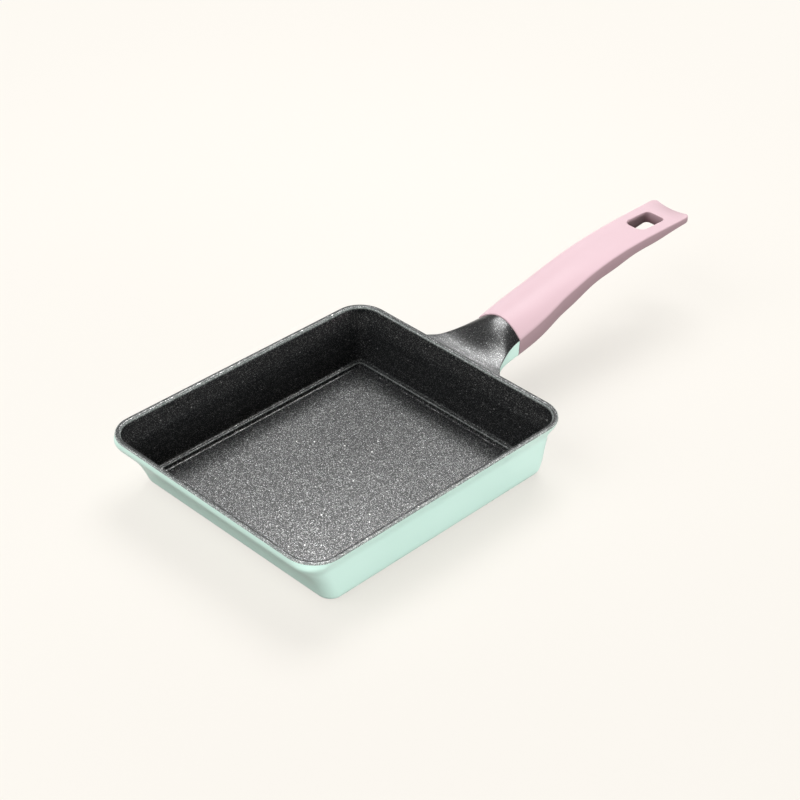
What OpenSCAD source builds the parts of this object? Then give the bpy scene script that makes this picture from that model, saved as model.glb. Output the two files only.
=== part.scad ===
// Rectangular rolled-omelette frying pan: a cast pan with a leaning front wall, a dark
// non-stick lining, a neck cast in one with the pan and a moulded handle screwed to its tang.
// The pan's base stands on the table plane, the handle runs along the length axis.

/* [Pan body] */
// Length of the pan over its rim, along the handle
pan_length = 190; // [165:1:230]
// Width of the pan over its rim, across the handle
pan_width = 157; // [135:1:190]
// Height of the rim's top above the table
pan_height = 38; // [34:0.5:48]
// Radius of the rim's corners, seen from above
rim_corner_radius = 17; // [14:0.5:24]
// Radius of the pan's corners at the foot of the walls, seen from above
base_corner_radius = 8; // [8:0.5:12]
// Radius of the rounded bottom edge
base_edge_radius = 4.5; // [3:0.5:6]
// How far the front wall leans in between the rim and the foot
front_lean = 21; // [12:0.5:26]
// How far each long wall leans in
side_lean = 8.4; // [5:0.2:10]
// How far the wall at the handle leans in
handle_wall_lean = 8.4; // [5:0.2:10]
// Thickness of the walls, the lining included
wall_thickness = 3.2; // [2.4:0.1:3.6]
// Radius of the rim's outer rounded edge, and of the ledge's edge
rim_edge_radius = 0.8; // [0.6:0.1:1.1]
// Height of the cooking floor above the table
floor_height = 4; // [3.4:0.1:5]
// Width of the ledge that runs round the floor at the foot of the walls
ledge_width = 1.6; // [1.2:0.1:2]
// Height of that ledge above the floor
ledge_height = 2.2; // [1.9:0.1:2.8]

/* [Lining] */
// Thickness of the non-stick lining, drawn thicker than a sprayed coat
lining_thickness = 0.4; // [0.2:0.05:0.5]

/* [Base plate] */
// Diameter of the perforated steel plate pressed into the base
plate_diameter = 112; // [100:1:118]
// Thickness of that plate
plate_thickness = 0.6; // [0.4:0.1:0.9]
// Diameter of one perforation
perforation_diameter = 6; // [4:0.5:8]

/* [Neck] */
// Length of the neck from the rim to the handle's front face
neck_length = 30; // [24:1:40]
// Width of the neck where it spreads into the rim
neck_root_width = 55; // [46:1:60]
// Width of the neck at the handle
neck_end_width = 30.4; // [27:0.2:30.8]
// Height above the table of the neck's long top edges, at the handle
neck_edge_height = 41; // [39:0.5:41.4]
// Rise of the neck's arched top above those edges, at the handle
neck_arch_rise = 8; // [5:0.5:8]
// Depth of the neck below those edges, at the handle
neck_depth = 13.2; // [11:0.2:13.4]

/* [Tang] */
// Length of the flat tang inside the handle
tang_length = 36; // [32:1:40]
// Width of the tang
tang_width = 16; // [13:0.5:18]
// Thickness of the tang
tang_thickness = 7; // [5.5:0.5:7]
// Height of the tang's middle above the table, at the handle's front face
tang_height = 38.4; // [37.6:0.2:39]
// Upward slope of the tang, in degrees
tang_slope = 14; // [13:0.5:15]

/* [Handle] */
// Length of the handle from its front face to its tip
handle_length = 153; // [135:1:175]
// Width of the handle at its front face
handle_width = 31.4; // [31:0.2:35]
// Height above the table of the handle's long top edges, at the front face
handle_edge_height = 41.5; // [41.4:0.1:42]
// Rise of those edges from the front face to the highest place
handle_rise = 19.4; // [17.5:0.2:21]
// Rise of the arched top above those edges, at the front face
handle_arch_rise = 8.3; // [8:0.1:10]
// Greatest depth of the handle below those edges
handle_depth = 15; // [14:0.2:16]
// How far each side swells out just behind the front face
front_swell = 0.7; // [0:0.1:1.2]
// Height of the shallow finger waves along the underside
wave_height = 0.6; // [0:0.1:1]
// Radius of the two corners at the tip, seen from above
tip_corner_radius = 4; // [2.5:0.5:5.5]
// Depth of the hollow in the end of the tip
tip_hollow = 1; // [0:0.1:1.5]

/* [Hanging hole] */
// Length of the hanging hole along the handle
hole_length = 23; // [18:0.5:26]
// Width of the hanging hole
hole_width = 13.4; // [11:0.2:15]
// Distance from the tip to the hole's nearer end
hole_to_tip = 15.5; // [12:0.5:20]
// Corner radius at the hole's end near the tip
hole_tip_radius = 2.8; // [2:0.1:4]
// Corner radius at the hole's end near the pan
hole_pan_radius = 5.4; // [4:0.1:5.5]

/* [Handle screw] */
// Diameter of the screw's shank
screw_diameter = 5; // [4:0.5:5.5]
// Diameter of the screw's head
head_diameter = 8.6; // [8:0.1:9.6]
// Height of the screw's head
head_height = 2.4; // [2:0.1:2.6]
// Width of one slot of the head's cross recess
recess_width = 1.1; // [0.8:0.1:1.4]
// Distance along the tang from the handle's front face to the screw
screw_distance = 24; // [22:0.5:26]
// Thickness of handle left between the screw's seat and the tang
seat_wall = 2; // [1.6:0.1:2.4]
// Diameter of the two washers under the head
washer_diameter = 9.6; // [9:0.1:11]
// Thickness of the flat washer
washer_thickness = 0.8; // [0.6:0.1:1]
// Thickness of the spring washer
spring_thickness = 1.1; // [0.8:0.1:1.3]
// Width of the cut through the spring washer
spring_cut = 1; // [0.6:0.1:1.5]

/* [Fits] */
// Clearance left on every side of a fitted piece
clearance = 0.3; // [0.2:0.05:0.4]

/* [Hidden] */
// Steps in a quarter turn of the pan's rings, and in the small arcs of its wall section.
corner_steps = 6;
arc_steps = 3;
// Places on a section of the neck or handle: across the arched top, and round the rest.
top_steps = 10;
under_steps = 14;
neck_steps = 10;
handle_steps = 27;
tip_steps = 4;

// The walls from the table (0) to the rim (1): heights, and the part of the lean and of
// the growth of the corner radius that belongs to each height.
height_shares = [0, 0.24, 0.42, 0.6, 0.74, 0.85, 0.9, 1];
front_lean_shares = [1, 0.83, 0.66, 0.44, 0.23, 0.07, 0.025, 0];
side_lean_shares = [1, 0.84, 0.76, 0.68, 0.58, 0.36, 0.24, 0];
corner_shares = [0, 0.02, 0.1, 0.16, 0.26, 0.36, 0.45, 1];

// The neck from the rim to the handle, at even steps: the part of the narrowing done, of the
// climb done, of the arch risen, the depth, and how much of the depth is straight side.
neck_narrow_shares = [0, 0.35, 0.56, 0.72, 0.85, 0.94, 1];
neck_climb_shares = [0, 0.06, 0.25, 0.48, 0.72, 0.9, 1];
neck_arch_shares = [0, 0.06, 0.2, 0.44, 0.7, 0.9, 1];
neck_depth_shares = [1.06, 1, 0.96, 0.96, 0.98, 1, 1];
neck_side_shares = [0.2, 0.24, 0.3, 0.38, 0.46, 0.52, 0.55];
neck_boxy_shares = [1.5, 1.3, 1.1, 0.9, 0.75, 0.65, 0.6];

// The handle from its front face to its tip, at even steps: width, climb, arch and depth.
handle_width_shares = [1, 0.945, 0.895, 0.86, 0.845, 0.848, 0.863, 0.88];
handle_climb_shares = [0, 0.28, 0.58, 0.82, 0.955, 1, 0.995, 0.975];
handle_arch_shares = [1, 0.74, 0.54, 0.37, 0.26, 0.17, 0.07, -0.1];
handle_depth_shares = [0.97, 1.04, 0.94, 0.83, 0.73, 0.64, 0.53, 0.37];
handle_side_share = 0.4;
handle_boxy_share = 0.62;
swell_share = 0.24;
wave_count = 4;

// Parts of other sizes: the rim's inner round as a part of the wall that the outer one leaves,
// the round at the ledge's foot, the height of the hollow's deepest place in the end of the
// tip, and the length of the cross recess.
rim_inner_share = 0.65;
floor_arc_share = 0.8;
tip_middle_share = 0.16;
recess_share = 0.6;

// Rings of perforations in the base plate: radius as a part of the plate's, and the count.
perforation_radius_shares = [0.3, 0.54, 0.78];
perforation_counts = [6, 10, 14];

rim_x = pan_length / 2;
handle_x = rim_x + neck_length;
tip_x = handle_x + handle_length;
rim_side_top = pan_height - rim_edge_radius;
rim_inner_radius = (wall_thickness - rim_edge_radius) * rim_inner_share;
ledge_top = floor_height + ledge_height;
floor_arc_radius = (ledge_height - rim_edge_radius) * floor_arc_share;
over = tang_thickness;

// One value along a row of evenly spaced ones, by a smooth curve through them, place 0 to 1.
function curve(place, row) =
    let (n = len(row) - 1,
         i = max(0, min(floor(place * n), n - 1)),
         f = place * n - i,
         b = row[i],
         c = row[i + 1],
         a = i > 0 ? row[i - 1] : 2 * b - c,
         d = i + 2 <= n ? row[i + 2] : 2 * c - b)
    b + 0.5 * f * ((c - a) + f * ((2 * a - 5 * b + 4 * c - d) + f * (3 * (b - c) + d - a)));

// Height of a place on the walls, and the share that one of the rows above has at a height.
function wall_z(share) = rim_side_top * share;
function at_height(z, row) =
    lookup(z / rim_side_top, [for (k = [0 : len(row) - 1]) [height_shares[k], row[k]]]);

// Closed ring of the pan at height z, set in from the outer wall by the amount given.
function ring(z, inset) =
    let (front = front_lean * at_height(z, front_lean_shares) + inset,
         side = side_lean * at_height(z, side_lean_shares) + inset,
         back = handle_wall_lean * at_height(z, side_lean_shares) + inset,
         r = base_corner_radius - inset
             + (rim_corner_radius - base_corner_radius) * at_height(z, corner_shares),
         x0 = front - rim_x + r,
         x1 = rim_x - back - r,
         y1 = pan_width / 2 - side - r)
    [for (q = [0 : 3]) for (k = [0 : corner_steps])
        let (a = 90 * (q + k / corner_steps))
        [(q == 0 || q == 3 ? x1 : x0) + r * cos(a), (q < 2 ? y1 : -y1) + r * sin(a), z]];

// Rings of the outside of the pan, from the base up to the lower edge of the lined rim.
outer_rings = concat(
    [for (k = [0 : arc_steps]) let (a = 90 * k / arc_steps)
        ring(base_edge_radius * (1 - cos(a)), base_edge_radius * (1 - sin(a)))],
    [for (k = [1 : len(height_shares) - 1]) ring(wall_z(height_shares[k]), 0)]);

// Rings of the lined faces, from the rim's outer side over the rim and down to the floor,
// all of them the amount e under the lining's free face.
function lined_rings(e) = concat(
    [for (k = [arc_steps : -1 : 0]) let (a = 90 * k / arc_steps, r = rim_edge_radius)
        ring(rim_side_top + (r - e) * cos(a), r - (r - e) * sin(a))],
    [for (k = [0 : arc_steps]) let (a = 90 * k / arc_steps, r = rim_inner_radius)
        ring(pan_height - r + (r - e) * cos(a), wall_thickness - r + (r - e) * sin(a))],
    [for (k = [len(height_shares) - 2 : -1 : 1])
        ring(wall_z(height_shares[k]), wall_thickness - e)],
    [for (k = [arc_steps : -1 : 0]) let (a = 90 * k / arc_steps, r = floor_arc_radius)
        ring(ledge_top + r - (r + e) * cos(a), wall_thickness + r - (r + e) * sin(a))],
    [for (k = [0 : arc_steps]) let (a = 90 * k / arc_steps, r = rim_edge_radius)
        ring(ledge_top - r + (r - e) * cos(a), ledge_inset + (r - e) * sin(a))],
    [for (k = [arc_steps : -1 : 0]) let (a = 90 * k / arc_steps, r = floor_arc_radius)
        ring(floor_height + r - (r + e) * cos(a),
             ledge_inset + rim_edge_radius + r - (r + e) * sin(a))]);
ledge_inset = wall_thickness + ledge_width;

// Closed skin through a row of closed rings of the same count, its two ends capped from a
// middle point each.
module loft(rings, first_middle, last_middle) {
    n = len(rings[0]);
    m = len(rings);
    polyhedron(
        points = concat([for (r = rings) for (p = r) p], [first_middle, last_middle]),
        faces = concat(
            [for (k = [0 : m - 2]) for (i = [0 : n - 1])
                [k * n + i, (k + 1) * n + i, (k + 1) * n + (i + 1) % n]],
            [for (k = [0 : m - 2]) for (i = [0 : n - 1])
                [k * n + i, (k + 1) * n + (i + 1) % n, k * n + (i + 1) % n]],
            [for (i = [0 : n - 1]) [m * n, i, (i + 1) % n]],
            [for (i = [0 : n - 1])
                [m * n + 1, (m - 1) * n + (i + 1) % n, (m - 1) * n + i]]));
}

// Outline of a neck or handle section in width and height: over the arched top from one long
// edge to the other, then down the sides and round the underside.
function arch(half, edge, rise) =
    [for (k = [0 : top_steps]) let (s = 1 - 2 * k / top_steps)
        [half * s, edge + rise * (1 - s * s)]];
function under(half, edge, depth, side_share, boxy_share) =
    [for (k = [0 : under_steps])
        let (a = 180 * k / under_steps, c = -cos(a))
        [half * sign(c) * pow(abs(c), boxy_share),
         edge - depth * (side_share + (1 - side_share) * pow(sin(a), boxy_share))]];

// Sizes of the neck at a place along it, 0 at the rim and 1 at the handle.
function neck_half(t) =
    (neck_root_width + (neck_end_width - neck_root_width) * curve(t, neck_narrow_shares)) / 2;
function neck_edge(t) =
    let (root = rim_side_top + lining_thickness)
    root + (neck_edge_height - root) * curve(t, neck_climb_shares);
function neck_arch(t, drop) = arch(neck_half(t), neck_edge(t) - drop,
                                   neck_arch_rise * curve(t, neck_arch_shares));
function neck_outline(t) = concat(
    neck_arch(t, lining_thickness),
    under(neck_half(t), neck_edge(t) - lining_thickness,
          neck_depth * curve(t, neck_depth_shares) - lining_thickness,
          curve(t, neck_side_shares), curve(t, neck_boxy_shares)));
function in_wall(p) =
    [rim_x - wall_thickness / 2 - handle_wall_lean * at_height(p[1], side_lean_shares),
     p[0], p[1]];

// The neck without its lining, rooted half way into the pan's wall.
module neck() {
    root = neck_outline(0);
    end = neck_outline(1);
    middle_drop = neck_depth / 2;
    loft(concat([[for (p = root) in_wall(p)]],
                [for (k = [0 : neck_steps]) let (t = k / neck_steps)
                    [for (p = neck_outline(t)) [rim_x + neck_length * t, p[0], p[1]]]]),
         in_wall([0, neck_edge(0) - middle_drop]),
         [handle_x, 0, neck_edge(1) - middle_drop]);
}

// The lining of the neck's top, one long sheet that starts inside the lining of the rim.
module neck_lining() {
    function strip(x, t) =
        let (low = neck_arch(t, lining_thickness))
        concat([for (p = neck_arch(t, 0)) [x, p[0], p[1]]],
               [for (k = [top_steps : -1 : 0]) [x, low[k][0], low[k][1]]]);
    function middle(x, t) =
        [x, 0, neck_arch(t, lining_thickness / 2)[top_steps / 2][1]];
    start = rim_x - lining_thickness / 2;
    loft(concat([strip(start, 0)],
                [for (k = [0 : neck_steps]) let (t = k / neck_steps)
                    strip(rim_x + neck_length * t, t)]),
         middle(start, 0), middle(handle_x, 1));
}

// Puts its children in the tang's own frame: origin at the handle's front face on the tang's
// middle, first axis along the tang.
module along_tang() {
    translate([handle_x, 0, tang_height]) rotate([0, -tang_slope, 0]) children();
}

// Heights in that frame of the screw's seat and of the pieces under it.
seat_z = -(tang_thickness / 2 + clearance + seat_wall);
spring_z = seat_z - washer_thickness - spring_thickness;
head_z = spring_z - head_height;

// Places the perforations of the base plate, as pegs of the radius and height given.
module perforations(radius, height) {
    for (k = [0 : len(perforation_counts) - 1])
        for (i = [0 : perforation_counts[k] - 1])
            rotate([0, 0, 360 * i / perforation_counts[k]])
                translate([perforation_radius_shares[k] * plate_diameter / 2, 0, 0])
                    cylinder(r = radius, h = height, $fn = 12);
}

// Cast pan with neck and tang in one piece, its outside enamelled pale green.
module pan_body() {
    color([0.77, 0.9, 0.84]) {
        difference() {
            union() {
                loft(concat(outer_rings, lined_rings(lining_thickness)),
                     [0, 0, 0], [0, 0, floor_height - lining_thickness]);
                neck();
                along_tang() translate([-over, -tang_width / 2, -tang_thickness / 2])
                    cube([over + tang_length, tang_width, tang_thickness]);
            }
            difference() {
                translate([0, 0, -over])
                    cylinder(d = plate_diameter + 2 * clearance, h = over + plate_thickness,
                             $fn = 72);
                perforations(perforation_diameter / 2 - clearance, plate_thickness * 2);
            }
            along_tang() translate([screw_distance, 0, -over])
                cylinder(d = screw_diameter + 2 * clearance, h = 2 * over, $fn = 24);
        }
    }
}

// Dark stone-effect non-stick lining of the inside, the rim and the neck's top.
module nonstick_lining() {
    color([0.2, 0.2, 0.21]) {
        union() {
            lower = lined_rings(lining_thickness);
            loft(concat([for (k = [len(lower) - 1 : -1 : 0]) lower[k]], lined_rings(0)),
                 [0, 0, floor_height - lining_thickness], [0, 0, floor_height]);
            neck_lining();
        }
    }
}

// Perforated steel plate pressed into the base, flush with it, the casting's pegs in its holes.
module base_plate() {
    color([0.72, 0.73, 0.75]) {
        difference() {
            cylinder(d = plate_diameter, h = plate_thickness, $fn = 72);
            translate([0, 0, -plate_thickness])
                perforations(perforation_diameter / 2, plate_thickness * 3);
        }
    }
}

// Outline of the handle at a place along it, narrowed by the amount given.
function handle_outline(t, narrower) =
    let (half = handle_width / 2 * curve(t, handle_width_shares) - narrower
                + (t < swell_share ? front_swell * sin(180 * t / swell_share) : 0),
         edge = handle_edge_height + handle_rise * curve(t, handle_climb_shares),
         wave = wave_height * sin(180 * t) * sin(360 * wave_count * t))
    concat(arch(half, edge, handle_arch_rise * curve(t, handle_arch_shares)),
           under(half, edge, handle_depth * curve(t, handle_depth_shares) + wave,
                 handle_side_share, handle_boxy_share));

// Outline of the hanging hole, seen from above, its far end square and its near end round.
module hole_outline() {
    far = tip_x - hole_to_tip;
    near = far - hole_length;
    half = hole_width / 2;
    translate([near + hole_pan_radius, -half])
        square([hole_length - hole_pan_radius - hole_tip_radius, hole_width]);
    translate([near, hole_pan_radius - half])
        square([hole_pan_radius, hole_width - 2 * hole_pan_radius]);
    translate([far - hole_tip_radius, hole_tip_radius - half])
        square([hole_tip_radius, hole_width - 2 * hole_tip_radius]);
    for (side = [-1, 1]) {
        translate([near + hole_pan_radius, side * (half - hole_pan_radius)])
            circle(r = hole_pan_radius, $fn = 32);
        translate([far - hole_tip_radius, side * (half - hole_tip_radius)])
            circle(r = hole_tip_radius, $fn = 24);
    }
}

// Moulded pink handle with the socket for the tang, the screw's hole and the hanging hole.
module handle() {
    color([0.96, 0.84, 0.86]) {
        difference() {
            body_length = handle_length - tip_corner_radius;
            tip_middle = handle_edge_height + handle_rise - handle_depth * tip_middle_share;
            loft(concat(
                     [for (k = [0 : handle_steps]) let (d = body_length * k / handle_steps)
                         [for (p = handle_outline(d / handle_length, 0))
                             [handle_x + d, p[0], p[1]]]],
                     [for (k = [1 : tip_steps])
                         let (a = 90 * k / tip_steps,
                              d = body_length + tip_corner_radius * sin(a))
                         [for (p = handle_outline(d / handle_length,
                                                  tip_corner_radius * (1 - cos(a))))
                             [handle_x + d, p[0], p[1]]]]),
                 [handle_x, 0, tang_height], [tip_x - tip_hollow, 0, tip_middle]);
            along_tang() translate([-over, -tang_width / 2 - clearance,
                                    -tang_thickness / 2 - clearance])
                cube([over + tang_length + clearance, tang_width + 2 * clearance,
                      tang_thickness + 2 * clearance]);
            along_tang() translate([screw_distance, 0, seat_z - over])
                cylinder(d = screw_diameter + 2 * clearance, h = 2 * over, $fn = 24);
            along_tang() translate([screw_distance, 0, seat_z - 2 * over])
                cylinder(d = washer_diameter + 2 * clearance, h = 2 * over, $fn = 32);
            translate([0, 0, handle_edge_height])
                linear_extrude(height = 2 * handle_rise) hole_outline();
        }
    }
}

// Cross-head screw from the handle's underside into the tang.
module handle_screw() {
    color([0.8, 0.81, 0.83]) {
        along_tang() translate([screw_distance, 0, 0]) {
            difference() {
                union() {
                    translate([0, 0, head_z])
                        cylinder(d = head_diameter, h = head_height, $fn = 32);
                    translate([0, 0, head_z + head_height / 2])
                        cylinder(d = screw_diameter,
                                 h = tang_thickness / 2 - head_z - head_height / 2, $fn = 24);
                }
                for (turn = [0, 90]) rotate([0, 0, turn])
                    translate([-head_diameter * recess_share / 2, -recess_width / 2,
                               head_z - head_height / 2])
                        cube([head_diameter * recess_share, recess_width, head_height]);
            }
        }
    }
}

// Split spring washer between the screw's head and the flat washer.
module spring_washer() {
    color([0.55, 0.56, 0.58]) {
        along_tang() translate([screw_distance, 0, spring_z])
            difference() {
                cylinder(d = head_diameter, h = spring_thickness, $fn = 32);
                translate([0, 0, -spring_thickness])
                    cylinder(d = screw_diameter + 2 * clearance, h = 3 * spring_thickness,
                             $fn = 24);
                translate([0, -spring_cut / 2, -spring_thickness])
                    cube([head_diameter, spring_cut, 3 * spring_thickness]);
            }
    }
}

// Flat washer against the seat in the handle.
module flat_washer() {
    color([0.7, 0.71, 0.73]) {
        along_tang() translate([screw_distance, 0, seat_z - washer_thickness])
            difference() {
                cylinder(d = washer_diameter, h = washer_thickness, $fn = 32);
                translate([0, 0, -washer_thickness])
                    cylinder(d = screw_diameter + 2 * clearance, h = 3 * washer_thickness,
                             $fn = 24);
            }
    }
}

pan_body();
nonstick_lining();
base_plate();
handle();
handle_screw();
spring_washer();
flat_washer();
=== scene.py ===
import bpy
import numpy as np
from mathutils import Matrix


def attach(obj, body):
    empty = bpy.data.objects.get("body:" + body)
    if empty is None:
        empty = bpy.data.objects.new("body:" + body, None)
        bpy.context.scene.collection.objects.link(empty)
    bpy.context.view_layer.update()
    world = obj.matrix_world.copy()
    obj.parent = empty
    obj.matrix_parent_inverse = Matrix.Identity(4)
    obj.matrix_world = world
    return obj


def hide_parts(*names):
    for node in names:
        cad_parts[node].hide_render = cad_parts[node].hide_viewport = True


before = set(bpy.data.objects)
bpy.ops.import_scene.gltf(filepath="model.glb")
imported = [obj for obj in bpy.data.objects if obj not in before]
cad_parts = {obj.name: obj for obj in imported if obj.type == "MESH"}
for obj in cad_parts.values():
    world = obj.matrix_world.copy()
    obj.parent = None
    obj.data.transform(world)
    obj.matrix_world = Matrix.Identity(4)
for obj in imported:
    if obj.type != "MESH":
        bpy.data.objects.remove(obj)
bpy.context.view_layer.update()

# The cast pan. Aluminium poured in one piece with its neck and the tang inside the handle,
# then enamelled mint on the outside. The round step pressed into the base holds the plate,
# and thirty low pegs of the casting stand in the plate's holes.

pan_length = 0.190
pan_width = 0.157
pan_height = 0.038
wall_thickness = 0.0032
base_edge_radius = 0.0045
base_corner_radius = 0.008
rim_corner_radius = 0.017
rim_edge_radius = 0.0008
front_lean = 0.021
side_lean = 0.0084
handle_wall_lean = 0.0084
lining_thickness = 0.0004
floor_height = 0.004
ledge_width = 0.0016
ledge_height = 0.0022
wall_steps = 42
height_shares = [0, 0.24, 0.42, 0.6, 0.74, 0.85, 0.9, 1]
front_lean_shares = [1, 0.83, 0.66, 0.44, 0.23, 0.07, 0.025, 0]
side_lean_shares = [1, 0.84, 0.76, 0.68, 0.58, 0.36, 0.24, 0]
corner_shares = [0, 0.02, 0.1, 0.16, 0.26, 0.36, 0.45, 1]
rim_x = pan_length / 2
rim_side_top = pan_height - rim_edge_radius
rim_inner_radius = (wall_thickness - rim_edge_radius) * 0.65
ledge_top = floor_height + ledge_height
ledge_inset = wall_thickness + ledge_width
foot_radius = (ledge_height - rim_edge_radius) * 0.8


def through(at, places, values):
    """Smooth curve through the points (places, values): on each span a cubic whose slope
    at either end is the mean of the slopes of the two spans that meet there."""
    places = np.asarray(places, float)
    values = np.asarray(values, float)
    span = np.diff(places)
    slope = np.diff(values) / span
    inner = (slope[:-1] * span[1:] + slope[1:] * span[:-1]) / (span[:-1] + span[1:])
    tangent = np.concatenate([slope[:1], inner, slope[-1:]])
    at = np.clip(at, places[0], places[-1])
    k = np.clip(np.searchsorted(places, at, side="right") - 1, 0, len(span) - 1)
    f = (at - places[k]) / span[k]
    rise = (1 + 2 * f) * (1 - f) ** 2 * values[k] + f ** 2 * (3 - 2 * f) * values[k + 1]
    return rise + f * (1 - f) * span[k] * ((1 - f) * tangent[k] - f * tangent[k + 1])


def on_wall(z, row):
    """Value of one of the wall's rows of shares at height z, from the table to the rim."""
    return through(z / rim_side_top, height_shares, row)


def pan_rings(z, inset, corner_steps=18, straight_steps=14):
    """Rounded rectangles, one for each height z and inset, counter-clockwise from above.
    Each side leans in by its lean times the share at that height, plus the inset. The
    corner radius grows from base to rim, less the inset. Straights are divided by a
    cosine, so that their last divisions beside the corners are short."""
    z = np.asarray(z, float)
    inset = np.asarray(inset, float)
    front = front_lean * on_wall(z, front_lean_shares) + inset
    side = side_lean * on_wall(z, side_lean_shares) + inset
    back = handle_wall_lean * on_wall(z, side_lean_shares) + inset
    grown = (rim_corner_radius - base_corner_radius) * on_wall(z, corner_shares)
    r = base_corner_radius - inset + grown
    x0 = front - rim_x + r
    x1 = rim_x - back - r
    y1 = pan_width / 2 - side - r
    turn = np.linspace(0, np.pi / 2, corner_steps + 1)
    corners = []
    for q, (cx, cy) in enumerate([(x1, y1), (x0, y1), (x0, -y1), (x1, -y1)]):
        a = turn + q * np.pi / 2
        x = cx[:, None] + r[:, None] * np.cos(a)
        y = cy[:, None] + r[:, None] * np.sin(a)
        corners.append(np.stack([x, y, z[:, None] + 0 * x], axis=2))
    w = (1 - np.cos(np.pi * np.arange(1, straight_steps + 1) / (straight_steps + 1))) / 2
    w = w[None, :, None]
    runs = []
    for q in range(4):
        start = corners[q][:, -1:, :]
        stop = corners[(q + 1) % 4][:, :1, :]
        runs += [corners[q], start + w * (stop - start)]
    return np.concatenate(runs, axis=1)


def arc(steps, first, last):
    """Angles from first to last in degrees, as radians, both ends included."""
    return np.radians(np.linspace(first, last, steps + 1))


def lined_section(e):
    """Heights and insets of the lined faces from the rim's outer side over the rim, down
    the wall, over the ledge to the floor, all of them e under the lining's free face: arcs
    of radius r less e where the face is convex, and r plus e where it is hollow. The rim's
    inner edge is rounder than its outer one."""
    r = rim_edge_radius
    f = foot_radius
    over = arc(6, 90, 0)
    inner = rim_inner_radius
    down = arc(8, 0, 90)
    wall = np.linspace(pan_height - inner, ledge_top + f, wall_steps + 2)[1:-1]
    z = [rim_side_top + (r - e) * np.cos(over)]
    inset = [r - (r - e) * np.sin(over)]
    z.append(pan_height - inner + (inner - e) * np.cos(down))
    inset.append(wall_thickness - inner + (inner - e) * np.sin(down))
    z.append(wall)
    inset.append(wall_thickness - e + 0 * wall)
    z.append(ledge_top + f - (f + e) * np.cos(over))
    inset.append(wall_thickness + f - (f + e) * np.sin(over))
    z.append(ledge_top - r + (r - e) * np.cos(over[::-1]))
    inset.append(ledge_inset + (r - e) * np.sin(over[::-1]))
    z.append(floor_height + f - (f + e) * np.cos(over))
    inset.append(ledge_inset + r + f - (f + e) * np.sin(over))
    return np.concatenate(z), np.concatenate(inset)


def skin(rings, first_middle=None, last_middle=None):
    """Quads between each ring and the next, and a fan of triangles from a middle point on
    either end that has one. Rings run counter-clockwise as seen from their far side."""
    rows, count = rings.shape[:2]
    at = np.arange(rows * count).reshape(rows, count)
    near = at[:-1]
    far = at[1:]
    quads = np.stack([near, np.roll(near, -1, 1), np.roll(far, -1, 1), far], axis=2)
    points = [rings.reshape(-1, 3)]
    faces = quads.reshape(-1, 4).tolist()
    size = rows * count
    if first_middle is not None:
        fan = np.stack([np.full(count, size), np.roll(at[0], -1), at[0]], axis=1)
        points.append(np.reshape(first_middle, (1, 3)))
        faces += fan.tolist()
        size += 1
    if last_middle is not None:
        fan = np.stack([np.full(count, size), at[-1], np.roll(at[-1], -1)], axis=1)
        points.append(np.reshape(last_middle, (1, 3)))
        faces += fan.tolist()
    return np.concatenate(points), faces


def shut(rings):
    """Skin of the rings, shut by fans about the middles of its first and last rings."""
    return skin(rings, rings[0].mean(axis=0), rings[-1].mean(axis=0))


def piece(name, shells, crease=32.0):
    """Object made of one or more shells, smooth but for edges sharper than the crease."""
    points = []
    faces = []
    size = 0
    for p, f in shells:
        points.append(p)
        faces += [[v + size for v in one] for one in f]
        size += len(p)
    mesh = bpy.data.meshes.new(name)
    mesh.from_pydata(np.concatenate(points).tolist(), [], faces)
    mesh.validate()
    mesh.shade_smooth()
    mesh.set_sharp_from_angle(angle=np.radians(crease))
    made = bpy.data.objects.new(name, mesh)
    bpy.context.scene.collection.objects.link(made)
    return made


# The neck of the casting: it spreads into the rim, and its underside runs into the wall in
# a cast fillet.

neck_length = 0.030
neck_root_width = 0.055
neck_end_width = 0.0304
neck_edge_height = 0.041
neck_arch_rise = 0.008
neck_depth = 0.0132
neck_fillet = 0.005
fillet_band = 0.006
neck_bite = 0.0012
neck_steps = 60
neck_narrow_shares = [0, 0.35, 0.56, 0.72, 0.85, 0.94, 1]
neck_climb_shares = [0, 0.06, 0.25, 0.48, 0.72, 0.9, 1]
neck_arch_shares = [0, 0.06, 0.2, 0.44, 0.7, 0.9, 1]
neck_depth_shares = [1.06, 1, 0.96, 0.96, 0.98, 1, 1]
neck_side_shares = [0.2, 0.24, 0.3, 0.38, 0.46, 0.52, 0.55]
neck_boxy_shares = [1.5, 1.3, 1.1, 0.9, 0.75, 0.65, 0.6]
handle_x = rim_x + neck_length


def along(t, row):
    """Smooth curve through an evenly spaced row, t from 0 to 1."""
    return through(t, np.linspace(0, 1, len(row)), row)


def arch(half, edge, rise, steps):
    """Arched top from one long edge to the other: a parabola of the given rise."""
    s = np.linspace(1, -1, steps + 1)[None, :]
    return half[:, None] * s, edge[:, None] + rise[:, None] * (1 - s ** 2)


def under(half, edge, depth, side_share, boxy, steps):
    """Sides and underside: straight down for the side share of the depth, then round it in
    an oval whose cosine and sine are raised to the boxy power."""
    a = np.linspace(0, np.pi, steps + 1)[None, :]
    c = -np.cos(a)
    boxy = boxy[:, None]
    round_part = (1 - side_share[:, None]) * np.abs(np.sin(a)) ** boxy
    y = half[:, None] * np.sign(c) * np.abs(c) ** boxy
    return y, edge[:, None] - depth[:, None] * (side_share[:, None] + round_part)


def neck_half(t):
    """Half of the neck's width, 0 at the rim and 1 at the handle."""
    narrowing = (neck_end_width - neck_root_width) * along(t, neck_narrow_shares)
    return (neck_root_width + narrowing) / 2


def neck_edge(t):
    """Height of the neck's two long top edges."""
    root = rim_side_top + lining_thickness
    return root + (neck_edge_height - root) * along(t, neck_climb_shares)


def wall_x(z):
    """Outer face of the wall at the handle, at height z."""
    return rim_x - handle_wall_lean * on_wall(z, side_lean_shares)


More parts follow.
